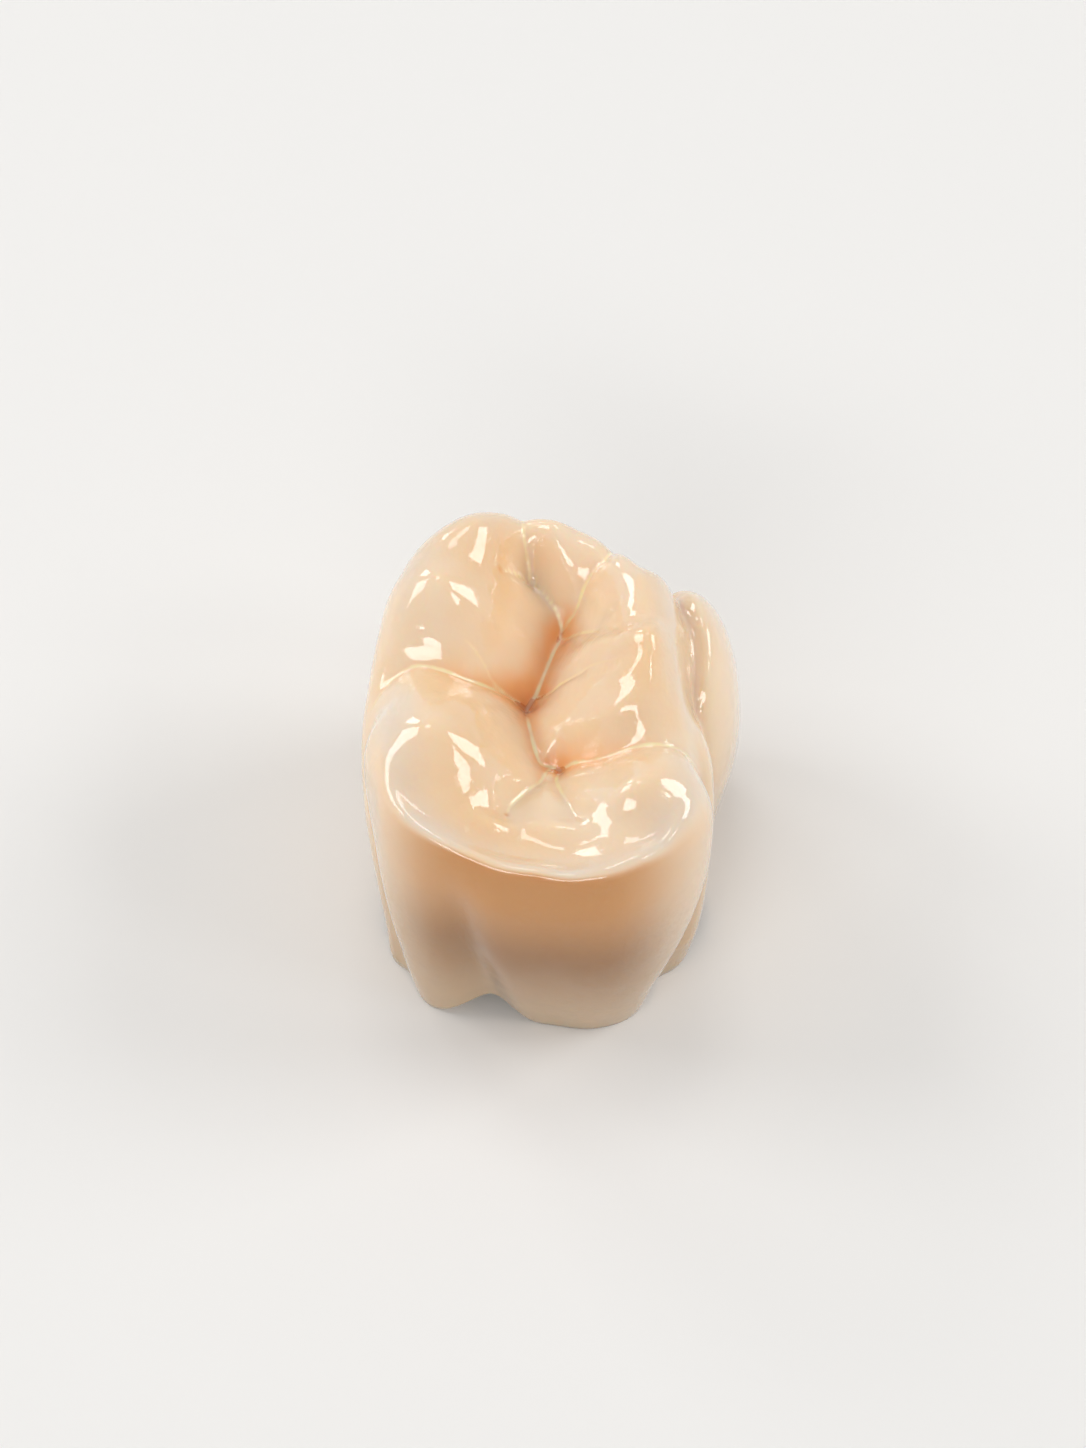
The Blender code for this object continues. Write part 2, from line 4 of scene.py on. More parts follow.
import bpy
import numpy as np
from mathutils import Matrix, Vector


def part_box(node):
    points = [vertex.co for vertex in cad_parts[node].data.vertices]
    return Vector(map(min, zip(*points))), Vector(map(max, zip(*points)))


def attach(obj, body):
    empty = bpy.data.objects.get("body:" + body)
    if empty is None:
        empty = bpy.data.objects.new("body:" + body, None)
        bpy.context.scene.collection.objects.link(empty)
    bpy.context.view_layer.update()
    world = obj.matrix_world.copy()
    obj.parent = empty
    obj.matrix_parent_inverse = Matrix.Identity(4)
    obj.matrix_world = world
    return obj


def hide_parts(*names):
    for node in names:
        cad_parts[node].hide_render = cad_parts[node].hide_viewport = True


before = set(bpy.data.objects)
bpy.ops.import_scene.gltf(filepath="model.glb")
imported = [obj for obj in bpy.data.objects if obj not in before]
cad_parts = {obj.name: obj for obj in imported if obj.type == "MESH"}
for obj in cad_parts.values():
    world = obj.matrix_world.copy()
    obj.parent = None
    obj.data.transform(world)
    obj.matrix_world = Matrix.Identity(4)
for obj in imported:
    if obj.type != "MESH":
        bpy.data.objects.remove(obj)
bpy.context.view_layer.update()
cad_low, cad_high = (np.array(corner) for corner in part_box("ceramic_crown"))


# Chewing surface. The top of the crown is built up by hand in layers of ceramic: cusps, ridges
# and small tubercles over a sheet through surveyed heights, cut by fissures.
# Heights are millimetres above the margin on the crown as it was surveyed.
cusp_tips = {
    "front_cheek": (-2.95, 3.3, 9.0),
    "front_cheek_lobe": (-2.0, 5.4, 8.95),
    "front_ridge_tubercle": (0.0, 5.9, 8.4),
    "front_palate_shoulder": (2.4, 4.5, 8.7),
    "front_palate": (2.75, 1.3, 8.9),
    "back_palate": (2.55, -2.7, 8.0),
    "back_cheek": (-3.3, -1.3, 8.4),
}
ridge_levels = [
    (-4.2, -2.6, 7.35), (-3.3, -3.95, 7.2), (-2.0, -4.7, 7.15), (-0.4, -5.1, 7.1), (1.1, -5.2, 7.1),
    (2.4, -4.8, 7.12), (3.3, -3.5, 7.25), (-4.3, 1.2, 7.7), (3.6, -0.8, 7.5), (3.45, 1.4, 7.95),
    (3.4, 2.8, 8.0), (3.1, 4.2, 8.05),
]
fossa_levels = [
    (-0.5, 1.6, 6.9), (0.25, 3.4, 7.0), (-0.5, 5.0, 7.65), (-0.4, -0.2, 7.0), (0.2, -1.1, 6.9),
    (-0.5, -2.3, 6.85), (0.4, -4.2, 6.72), (-1.5, -3.9, 6.82),
]
slope_levels = [
    (-1.7, 2.9, 8.05), (1.2, 0.3, 7.85), (-1.9, -0.5, 7.85), (1.3, -2.2, 7.4), (-2.6, 4.3, 8.7),
    (-1.4, 5.0, 8.5), (-3.25, -2.95, 7.5), (2.7, -3.75, 7.2),
]
rim_levels = [
    (-5.6, 3.4, 7.6), (-4.4, 6.4, 7.4), (-1.2, 7.8, 7.4), (2.2, 7.0, 6.8), (4.6, 4.6, 5.6),
    (4.6, 1.2, 5.9), (4.8, -2.6, 6.6), (-6.0, -1.2, 7.2), (-4.6, -4.8, 6.8), (0.0, -6.6, 6.6),
    (3.0, -6.0, 6.5),
]
# Ridges: points, rise along them, half width
ridges = {
    "front_cheek": ([(-3.0, 3.25), (-2.1, 3.15), (-1.35, 3.0), (-0.8, 2.9), (-0.45, 3.0)],
                    [0.0, 0.12, 0.2, 0.15, 0.0], 0.75),
    "front_palate": ([(2.65, 1.75), (2.6, 0.9), (2.35, 0.0), (1.55, -0.35), (0.95, -0.3), (0.0, -0.45)],
                     [0.1, 0.22, 0.28, 0.28, 0.2, 0.0], 0.48),
    "front_palate_lobe": ([(2.3, 1.35), (1.6, 1.5), (1.1, 1.9), (0.6, 2.35)],
                          [0.08, 0.2, 0.22, 0.08], 0.36),
    "front_palate_shoulder": ([(2.4, 3.25), (1.95, 2.75), (1.5, 2.6)], [0.05, 0.12, 0.08], 0.5),
    "back_cheek": ([(-3.7, -1.55), (-2.9, -1.5), (-1.9, -1.55), (-1.1, -1.1)],
                   [0.0, 0.12, 0.16, 0.08], 0.75),
    "back_palate": ([(2.6, -2.85), (2.0, -2.9), (1.5, -2.7), (0.9, -2.3)], [0.0, 0.1, 0.12, 0.05], 0.45),
    "back_rim": ([(-4.55, -1.5), (-4.4, -2.45), (-3.85, -3.4), (-3.0, -4.1), (-1.7, -4.65),
                  (-0.35, -4.95), (1.1, -5.05), (2.35, -4.6), (3.2, -3.85), (3.85, -2.85)],
                 [0.1, 0.26, 0.26, 0.24, 0.15, 0.1, 0.1, 0.2, 0.26, 0.1], 0.3),
    "front_tubercle": ([(0.05, 6.0), (0.15, 5.4), (0.35, 4.75)], [0.1, 0.3, 0.2], 0.45),
    "centre_tubercle": ([(-0.35, -3.2), (0.2, -3.35), (0.8, -3.4)], [0.15, 0.24, 0.12], 0.35),
    "left_tubercle": ([(-1.95, -3.15), (-1.5, -3.3), (-1.05, -3.25)], [0.08, 0.2, 0.1], 0.28),
}
tubercles = [
    (0.25, -2.6, 0.08, 0.6), (2.05, -2.85, 0.15, 0.4), (-0.05, -1.05, 0.12, 0.2),
]
# Fissures: points, half width of the valley, depth along it
fissures = {
    "cheek": ([(-0.65, 1.55), (-0.95, 1.6), (-1.55, 1.5), (-2.3, 1.4), (-2.85, 1.45), (-3.5, 1.55),
               (-3.95, 1.45), (-4.5, 1.05), (-5.3, 0.1)],
              0.75, [1.05, 1.0, 0.95, 0.85, 0.75, 0.65, 0.6, 0.5, 0.45]),
    "front": ([(-0.8, 7.2), (-0.75, 6.05), (-0.7, 5.6), (-0.6, 5.3), (-0.5, 5.05)],
              0.4, [0.4, 0.42, 0.5, 0.6, 0.85]),
    "middle_front": ([(-0.5, 5.05), (-0.35, 4.9), (-0.1, 4.6), (0.2, 4.2), (0.3, 3.95)],
                     0.7, [0.9, 0.95, 0.95, 0.95, 0.95]),
    "middle": ([(0.3, 3.95), (0.2, 3.5), (0.1, 3.25), (-0.05, 2.8), (-0.25, 2.2), (-0.4, 1.9),
                (-0.65, 1.55)],
               0.8, [0.95, 1.0, 1.0, 1.0, 1.0, 1.0, 1.05]),
    "middle_back": ([(-0.65, 1.55), (-0.65, 1.15), (-0.55, 0.4), (-0.4, -0.35), (-0.25, -0.65),
                     (0.0, -0.65), (0.25, -0.75)], 0.75, [1.05, 1.0, 0.9, 0.85, 0.85, 0.85, 0.85]),
    "back_palate": ([(0.25, -0.75), (0.6, -0.8), (1.1, -0.95), (1.55, -1.05), (2.35, -1.05), (3.05, -1.0),
                     (3.65, -0.95), (4.1, -1.25), (4.9, -1.8)],
                    0.7, [0.85, 0.85, 0.85, 0.8, 0.7, 0.6, 0.6, 0.6, 0.6]),
    "front_palate": ([(0.3, 3.7), (0.45, 3.5), (0.7, 3.3), (1.1, 2.85), (1.3, 2.6), (1.65, 2.2),
                      (1.85, 1.85)],
                     0.5, [0.95, 0.8, 0.65, 0.5, 0.4, 0.25, 0.0]),
    "palate_branch": ([(-0.4, 1.85), (0.0, 1.65), (0.3, 1.65), (0.8, 1.5), (1.0, 1.45), (1.7, 1.1),
                       (2.5, 0.9)],
                      0.4, [0.95, 0.6, 0.5, 0.4, 0.35, 0.25, 0.0]),
    "cheek_branch": ([(-1.0, 1.6), (-1.5, 1.65), (-1.8, 1.9), (-2.15, 2.1), (-2.75, 2.2)],
                     0.45, [0.8, 0.45, 0.35, 0.25, 0.0]),
    "front_cheek_branch": ([(-0.5, 5.05), (-0.75, 4.95), (-1.1, 4.75), (-1.35, 4.5), (-1.85, 4.3)],
                           0.4, [0.85, 0.65, 0.5, 0.3, 0.0]),
    "front_branch": ([(0.3, 3.95), (0.65, 4.05), (0.9, 4.4), (1.15, 4.65), (1.5, 4.9), (1.8, 5.8),
                      (2.0, 6.6)],
                     0.36, [0.95, 0.75, 0.62, 0.55, 0.5, 0.45, 0.4]),
    "back_left": ([(0.0, -0.65), (-0.25, -1.3), (-0.5, -1.65), (-1.0, -2.3), (-1.15, -2.75),
                   (-1.2, -3.3)],
                  0.45, [0.85, 0.7, 0.6, 0.5, 0.3, 0.0]),
    "back_right": ([(0.25, -0.75), (0.15, -1.3), (0.25, -1.8), (0.45, -2.35), (0.65, -2.9), (0.9, -3.35)],
                   0.4, [0.85, 0.6, 0.5, 0.4, 0.25, 0.0]),
}
valley_blend, valley_floor = 4.0, 0.12
sheet_give, tubercle_edge = 0.02, 1.3


def smooth_path(points, pieces=6):
    """Points along a smooth curve through the ones given."""
    p = np.array(points, float)
    e = np.vstack([2 * p[0] - p[1], p, 2 * p[-1] - p[-2]])
    path = []
    for k in range(1, len(e) - 2):
        for s in np.linspace(0, 1, pieces, endpoint=False):
            path.append(0.5 * (2 * e[k] + (e[k + 1] - e[k - 1]) * s
                               + (2 * e[k - 1] - 5 * e[k] + 4 * e[k + 1] - e[k + 2]) * s**2
                               + (3 * e[k] - e[k - 1] - 3 * e[k + 1] + e[k + 2]) * s**3))
    path.append(e[-2])
    return np.array(path)


def sheet_through(levels):
    """Weights of the thin plate that passes through the levels."""
    p = np.array(levels, float)
    d = np.hypot(p[:, None, 0] - p[None, :, 0], p[:, None, 1] - p[None, :, 1])
    bend = np.where(d > 0, d**2 * np.log(np.maximum(d, 1e-9)), 0) + sheet_give * np.eye(len(p))
    flat = np.hstack([np.ones((len(p), 1)), p[:, :2]])
    system = np.block([[bend, flat], [flat.T, np.zeros((3, 3))]])
    return p, np.linalg.solve(system, np.concatenate([p[:, 2], np.zeros(3)]))


sheet = sheet_through(list(cusp_tips.values()) + ridge_levels + fossa_levels + slope_levels + rim_levels)
ridge_paths = [(smooth_path(np.column_stack([np.array(points, float), rise])), width)
               for points, rise, width in ridges.values()]
fissure_paths = [(smooth_path(np.column_stack([np.array(points, float), depth])), width)
                 for points, width, depth in fissures.values()]


def path_distance(path, x, y):
    """Distance to each stretch of a path, with the path's value at the foot."""
    for a, b in zip(path[:-1], path[1:]):
        run = b[:2] - a[:2]
        t = np.clip(((x - a[0]) * run[0] + (y - a[1]) * run[1]) / (run @ run), 0, 1)
        yield np.hypot(x - a[0] - t * run[0], y - a[1] - t * run[1]), a[2] + t * (b[2] - a[2])


def valley_depth(x, y):
    """How deep the fissures' valleys lie below the ridges."""
    valley = np.zeros_like(x)
    for path, width in fissure_paths:
        deep = np.zeros_like(x)
        for d, h in path_distance(path, x, y):
            off_floor = np.hypot(d, valley_floor) - valley_floor
            deep = np.maximum(deep, np.maximum(h, 0) * np.exp(-off_floor / width))
        valley += deep**valley_blend
    return valley ** (1 / valley_blend)


def chewing_height(x, y):
    """Height of the chewing surface."""
    levels, weight = sheet
    z = weight[-3] + weight[-2] * x + weight[-1] * y
    for (px, py, _), w in zip(levels, weight[:-3]):
        d2 = (x - px) ** 2 + (y - py) ** 2
        z = z + w * 0.5 * d2 * np.log(np.maximum(d2, 1e-18))
    for path, width in ridge_paths:
        crest = np.zeros_like(x)
        for d, h in path_distance(path, x, y):
            crest = np.maximum(crest, h * np.exp(-(d / width) ** 2))
        z = z + crest
    for px, py, rise, radius in tubercles:
        z = z + rise * np.exp(-(((x - px) ** 2 + (y - py) ** 2) / radius**2) ** tubercle_edge)
    return z - valley_depth(x, y)


class SampledHeight:
    """Chewing surface sampled once on a net, then read between samples."""

    def __init__(self, step=0.05, half=8.0):
        line = np.linspace(-half, half, int(2 * half / step) + 1)
        self.half, self.step = half, line[1] - line[0]
        x, y = np.meshgrid(line, line, indexing="ij")
        self.z = chewing_height(x, y)

    def __call__(self, x, y):
        i = np.clip((x + self.half) / self.step, 0, len(self.z) - 1.001)
        j = np.clip((y + self.half) / self.step, 0, len(self.z) - 1.001)
        a, b = i.astype(int), j.astype(int)
        s, t = i - a, j - b
        z = self.z
        return (z[a, b] * (1 - s) * (1 - t) + z[a + 1, b] * s * (1 - t)
                + z[a, b + 1] * (1 - s) * t + z[a + 1, b + 1] * s * t)


# Axial wall. The wall is one tapering skirt under the cusps, grooved by four furrows, with
# a fifth cusp on the palate side. It ends in a thin scalloped margin.
bulge_height = 5.4
# Bearing in degrees from the palate side, distance from the axis
bulge_outline = [
    (-10, 4.45), (15, 4.15), (40, 5.1), (54, 5.75), (62, 5.5), (72, 6.1), (90, 6.75), (105, 7.1),
    (120, 6.9), (135, 6.2), (150, 5.5), (180, 5.05), (192, 5.1), (204, 5.2), (215, 5.42), (232, 5.52),
    (250, 5.45), (270, 5.45), (288, 5.7), (305, 5.48), (325, 5.12), (340, 4.58),
]
margin_outline = [
    (-15, 4.3), (7, 4.05), (33, 4.5), (54, 5.1), (76, 5.1), (98, 5.2), (117, 5.6), (135, 5.5), (155, 4.8),
    (180, 4.25), (201, 4.7), (222, 5.4), (235, 5.28), (251, 4.75), (268, 4.8), (285, 5.1), (300, 5.02),
    (316, 4.65), (330, 4.4),
]
shoulder_curl, back_curl = 0.045, 0.11
# Heights, bearing and depth at each, half width in degrees
wall_furrows = {
    "back": ([0, 3, 5.2, 6.8], [252, 245.5, 243, 242], [0.32, 0.36, 0.25, 0.0], 7.5),
    "cheek": ([0, 2, 5, 6.8, 9], [220.5, 211.5, 196, 177, 172], [0.42, 0.45, 0.35, 0.25, 0.1], 7.5),
    "palate": ([0, 1, 2.5, 4, 5.5, 9], [309, 312, 325, 335, 345, 352],
               [0.42, 0.45, 0.5, 0.45, 0.35, 0.15], 8.5),
    "front": ([0, 3, 6, 9], [86, 86, 84, 82], [0.4, 0.3, 0.1, 0.0], 16.0),
}
# Bearing, rise, half width in degrees
margin_rises = {
    "back": (249.5, 0.82, 10.5), "front": (90, 0.9, 20.0),
    "cheek": (194, 0.45, 13.0), "palate": (335, 0.4, 13.0),
    "back_cheek_corner": (221, 0.15, 5.0), "back_palate_corner": (304, 0.25, 6.0),
}
margin_drop = 0.06
fifth_cusp_centre = (3.6, 3.0, 3.6)
fifth_cusp_radii = (1.55, 2.75, 4.0)
fifth_cusp_below = 3.9
# How far its joint with the wall is rounded, at two heights
fifth_cusp_joint = ([1.5, 4.0], [1.0, 0.12])
# The groove between it and the cusps
groove_course = [(3.3, 4.5), (3.6, 3.4), (3.76, 2.8), (3.82, 2.2), (3.79, 1.6), (3.74, 0.9), (3.75, 0.1),
                 (3.85, -0.6), (4.05, -1.1)]
groove_depths = [0.1, 0.15, 0.15, 0.15, 0.15, 0.15, 0.12, 0.1, 0.05]
groove_half_width = 0.25
groove_path = smooth_path(np.column_stack([np.array(groove_course, float), groove_depths]), 2)
groove_levels = (3.5, 5.0)
rim_rounding, back_rim_rounding = 1.1, 0.22
chewing_weight = 0.8
back_bearing, back_rim_span, back_curl_span = 264.0, 60.0, 32.0
# Rays that find the surface leave a spine inside the crown and turn from up to down
spine_level, spine_reach, spine_extent, spine_ease = 2.0, 0.66, 0.72, 1.6
turn_start, turn_swing, turn_ease = 0.35, 0.35, 1.35
ray_length, ray_halvings, ray_step = 12.0, 18, 0.03


def round_outline(table, bearing):
    """Smooth closed outline through pairs of bearing and distance."""
    angle = np.radians(np.array([pair[0] for pair in table], float)) % (2 * np.pi)
    order = np.argsort(angle)
    angle = angle[order]
    reach = np.array([pair[1] for pair in table], float)[order]
    angle = np.concatenate([angle[-3:] - 2 * np.pi, angle, angle[:3] + 2 * np.pi])
    reach = np.concatenate([reach[-3:], reach, reach[:3]])
    slope = np.gradient(reach, angle)
    at = np.asarray(bearing) % (2 * np.pi)
    low = np.clip(np.searchsorted(angle, at) - 1, 0, len(angle) - 2)
    span = angle[low + 1] - angle[low]
    s = (at - angle[low]) / span
    return ((2 * s**3 - 3 * s**2 + 1) * reach[low] + (s**3 - 2 * s**2 + s) * span * slope[low]
            + (3 * s**2 - 2 * s**3) * reach[low + 1] + (s**3 - s**2) * span * slope[low + 1])


def margin_height(bearing):
    """Height of the scalloped edge of the wall."""
    z = np.full_like(bearing, -margin_drop)
    for centre, rise, width in margin_rises.values():
        away = (np.degrees(bearing) - centre + 180) % 360 - 180
        z = z + rise * np.exp(-(away / width) ** 2)
    return np.maximum(z, 0)


def back_share(bearing, span):
    """1 where the outside faces the back, 0 elsewhere."""
    away = (np.degrees(bearing) - back_bearing + 180) % 360 - 180
    return 1 / (1 + (away / span) ** 6)


def wall_reach(bearing, z):
    """Distance of the axial wall from the axis."""
    bulge, foot = round_outline(bulge_outline, bearing), round_outline(margin_outline, bearing)
    t = np.clip(z / bulge_height, -0.2, 1)
    curl = shoulder_curl + (back_curl - shoulder_curl) * back_share(bearing, back_curl_span)
    reach = foot + (bulge - foot) * (1 - (1 - t) ** 2) - curl * np.maximum(z - bulge_height, 0) ** 2
    for heights, centres, depths, width in wall_furrows.values():
        away = (np.degrees(bearing) - np.interp(z, heights, centres) + 180) % 360 - 180
        reach = reach - np.interp(z, heights, depths) * np.exp(-(away / width) ** 2)
    return reach


def blend_max(a, b, size):
    """The greater of two values, rounded where they are within size of each other."""
    overlap = np.maximum(size - np.abs(a - b), 0) / size
    return np.maximum(a, b) + overlap * overlap * size / 4


def outside(p, chewing):
    """Negative inside the crown's outer form, positive outside it."""
    x, y, z = p[..., 0], p[..., 1], p[..., 2]
    bearing = np.arctan2(y, x)
    above = (z - chewing(x, y)) * chewing_weight
    beyond = np.hypot(x, y) - wall_reach(bearing, z)
    size = rim_rounding - (rim_rounding - back_rim_rounding) * back_share(bearing, back_rim_span)
    body = blend_max(above, beyond, size)
    (cx, cy, cz), (rx, ry, rz) = fifth_cusp_centre, fifth_cusp_radii
    tall = np.where(z < cz, fifth_cusp_below, rz)
    lobe = (np.sqrt(((x - cx) / rx) ** 2 + ((y - cy) / ry) ** 2 + ((z - cz) / tall) ** 2) - 1) * rx
    merge = np.interp(z, *fifth_cusp_joint)
    groove = np.zeros_like(x)
    for d, h in path_distance(groove_path, x, y):
        groove = np.maximum(groove, h * np.exp(-(d / groove_half_width) ** 2))
    return groove * np.interp(z, groove_levels, [0, 1]) - blend_max(-body, -lobe, merge)


def surface_along(start, direction, chewing):
    """Where rays from inside meet the outer form."""
    near, far = np.zeros(direction.shape[:-1]), np.full(direction.shape[:-1], ray_length)
    for _ in range(ray_halvings):
        middle = (near + far) / 2
        within = outside(start + middle[..., None] * direction, chewing) < 0
        near, far = np.where(within, middle, near), np.where(within, far, middle)
    return (near + far) / 2


def surface_points(reach, bearing, chewing):
    """Points of the outside; reach runs from 0 in the middle to 1 at the margin."""
    low = margin_height(bearing)
    zero = np.zeros_like(bearing)
    level = np.stack([np.cos(bearing), np.sin(bearing), zero], -1)
    foot = surface_along(np.stack([zero, zero, low], -1), level, chewing)
    rim = spine_reach * round_outline(bulge_outline, bearing)
    full_turn = np.pi / 2 + np.arctan2(spine_level - low, foot - rim)
    part = np.clip((reach - turn_start) / (1 - turn_start), 0, 1)
    turn = full_turn * (turn_swing * part**2 * (3 - 2 * part) + (1 - turn_swing) * part**turn_ease)
    spine = rim * (1 - (1 - np.clip(reach / spine_extent, 0, 1)) ** spine_ease)
    start = np.stack([spine * np.cos(bearing), spine * np.sin(bearing), zero + spine_level], -1)
    sideways = np.sin(turn)
    direction = np.stack([sideways * np.cos(bearing), sideways * np.sin(bearing), np.cos(turn)], -1)
    along = surface_along(start, direction, chewing)
    # Two secant steps on the form itself take out the net's facets
    before, after = along - ray_step, along + ray_step
    low_side = outside(start + before[..., None] * direction, chewing_height)
    high_side = outside(start + after[..., None] * direction, chewing_height)
    rate = np.maximum((high_side - low_side) / (2 * ray_step), 0.05)
    along = before - low_side / rate
    along = along - outside(start + along[..., None] * direction, chewing_height) / rate
    return start + along[..., None] * direction


# Shell. One closed skin: a square net bent to a disk over the chewing surface, rings
# down the wall to the margin, then the land, shoulder and hollow of the inside.
core_steps, core_part = 232, 0.62
rim_rings, wall_rings, ring_spread = 7, 52, 1.15
land_width, shoulder_width, shoulder_rise = 0.18, 0.85, 0.45
shoulder_least, shoulder_easing, shoulder_waves = 0.65, 14.0, 6
hollow_height, hollow_taper, seat_fillet = 3.9, math.radians(7.0), 0.55
hollow_rows, quarters = 6, (0.25, 0.5, 0.75, 1.0)

sampled = SampledHeight()
line = np.linspace(-1, 1, core_steps + 1)
across, along_net = np.meshgrid(line, line, indexing="ij")
wide = np.abs(across) >= np.abs(along_net)
with np.errstate(divide="ignore", invalid="ignore"):
    net_reach = np.where(wide, across, along_net)
    net_turn = np.where(wide, np.pi / 4 * np.where(across != 0, along_net / across, 0),
                        np.pi / 2 - np.pi / 4 * np.where(along_net != 0, across / along_net, 0))
net_x, net_y = net_reach * np.cos(net_turn), net_reach * np.sin(net_turn)
core = surface_points(np.hypot(net_x, net_y) * core_part, np.arctan2(net_y, net_x), sampled)

n = core_steps
border = ([(i, 0) for i in range(n)] + [(n, j) for j in range(n)]
          + [(i, n) for i in range(n, 0, -1)] + [(0, j) for j in range(n, 0, -1)])
border_bearing = np.array([np.arctan2(net_y[i, j], net_x[i, j]) for i, j in border])
ring_reach = core_part + (1 - core_part) * np.linspace(0, 1, rim_rings + wall_rings + 1)[1:] ** ring_spread
fine_rings = surface_points(ring_reach[:rim_rings, None] + 0 * border_bearing,
                            border_bearing + 0 * ring_reach[:rim_rings, None], sampled)
coarse_bearing = border_bearing[::2]
wall = surface_points(ring_reach[rim_rings:, None] + 0 * coarse_bearing,
                      coarse_bearing + 0 * ring_reach[rim_rings:, None], sampled)

foot = wall[-1]
foot_reach = np.hypot(foot[:, 0], foot[:, 1])
foot_unit, foot_level = foot[:, :2] / foot_reach[:, None], foot[:, 2]
wave = np.fft.rfft(foot_reach)
wave[shoulder_waves:] = 0
even = np.fft.irfft(wave, len(foot_reach))
over = np.maximum(even - shoulder_width - (foot_reach - shoulder_least), 0)
near = range(-round(shoulder_easing / 360 * len(over)), round(shoulder_easing / 360 * len(over)) + 1)
over = np.max([np.roll(over, k) for k in near], axis=0)
shoulder = even - shoulder_width - np.mean([np.roll(over, k) for k in near], axis=0)
lean, wall_end = math.tan(hollow_taper), hollow_height - seat_fillet
inner = [(foot_reach - land_width, foot_level)]
for quarter in quarters:
    turn = quarter * np.pi / 2
    inner.append((foot_reach - land_width - (foot_reach - land_width - shoulder) * np.sin(turn),
                  foot_level + shoulder_rise * (1 - np.cos(turn))))
shoulder_level = foot_level + shoulder_rise
for row in range(1, hollow_rows + 1):
    level = shoulder_level + (wall_end - shoulder_level) * row / hollow_rows
    inner.append((shoulder - lean * (level - shoulder_level), level))
wall_end_reach = shoulder - lean * (wall_end - shoulder_level)
for quarter in quarters:
    turn = quarter * np.pi / 2
    inner.append((wall_end_reach - seat_fillet * (1 - np.cos(turn)),
                  wall_end + seat_fillet * np.sin(turn) + 0 * foot_level))
inner.append((0.5 * (wall_end_reach - seat_fillet), hollow_height + 0 * foot_level))
hollow = np.array([np.column_stack([foot_unit * r[:, None], z]) for r, z in inner])
seat_middle = np.array([0.0, 0.0, hollow_height])

rings = [fine_rings[k] for k in range(rim_rings)] + list(wall) + list(hollow)
points = np.vstack([core.reshape(-1, 3)] + rings + [seat_middle[None]])
quads = [(i * (n + 1) + j, (i + 1) * (n + 1) + j, (i + 1) * (n + 1) + j + 1, i * (n + 1) + j + 1)
         for i in range(n) for j in range(n)]
triangles = []
last = [i * (n + 1) + j for i, j in border]
start = (n + 1) ** 2
for ring in rings:
    these = list(range(start, start + len(ring)))
    start += len(ring)
    if len(these) == len(last):
        quads += [(last[k], last[k - 1], these[k - 1], these[k]) for k in range(len(these))]
    else:
        for k in range(len(these)):
            m = (k + 1) % len(these)
            a, b, c = last[2 * k], last[2 * k + 1], last[(2 * k + 2) % len(last)]
            triangles += [(b, a, these[k]), (b, these[k], these[m]), (c, b, these[m])]
    last = these
triangles += [(last[k], last[k - 1], start) for k in range(len(last))]

own_low, own_high = points.min(0), points.max(0)
to_frame = (cad_high - cad_low) / (own_high - own_low)
placed = (points - own_low) * to_frame + cad_low
shell_mesh = bpy.data.meshes.new("crown_shell")
shell_mesh.from_pydata(placed.tolist(), [], quads + triangles)
shell_mesh.polygons.foreach_set("use_smooth", [True] * len(shell_mesh.polygons))
shell_mesh.validate()

outer_count = (n + 1) ** 2 + sum(len(ring) for ring in rings[:rim_rings + wall_rings])
is_outer = np.arange(len(points)) < outer_count
px, py, pz = points[:, 0], points[:, 1], points[:, 2]
valley = np.where(is_outer, valley_depth(px, py), 0)
bearing = np.arctan2(py, px)
blend_size = rim_rounding - (rim_rounding - back_rim_rounding) * back_share(bearing, back_rim_span)
lead = (pz - chewing_height(px, py)) * chewing_weight - np.hypot(px, py) + wall_reach(bearing, pz)
above_wall = np.where(is_outer, np.clip(0.5 + lead / blend_size, 0, 1), 0)
front_fade, front_fade_start, front_fade_span = 0.6, 3.8, 1.2
marks = {
    "valley": valley * (1 - front_fade * np.clip((py - front_fade_start) / front_fade_span, 0, 1)),
    "top": above_wall,
    "rise": np.where(is_outer, pz, 0),
    "hollow": np.where(is_outer, 0.0, 1.0),
}
for name, values in marks.items():
    shell_mesh.attributes.new(name, "FLOAT", "POINT").data.foreach_set("value", values.astype(np.float32))
shell = bpy.data.objects.new("crown_shell", shell_mesh)
bpy.context.scene.collection.objects.link(shell)


# Fissures. The floor of each valley is opened with a fine point before the
# glaze is fired. The cut follows the fissure curves, and nearness to them carries a painted highlight line
# and brown specks.
fissure_cut, fissure_breadth, line_breadth = 0.00001, 0.00009, 0.00008
ripple_depth, ripple_scale = 0.000018, 1100.0
# Where the search for a valley's floor starts, and how near the wall it goes, in millimetres;
# the measures of the cut and the ripple are in metres
search_level, wall_level, wall_clearance = 4.2, 4.0, 0.15


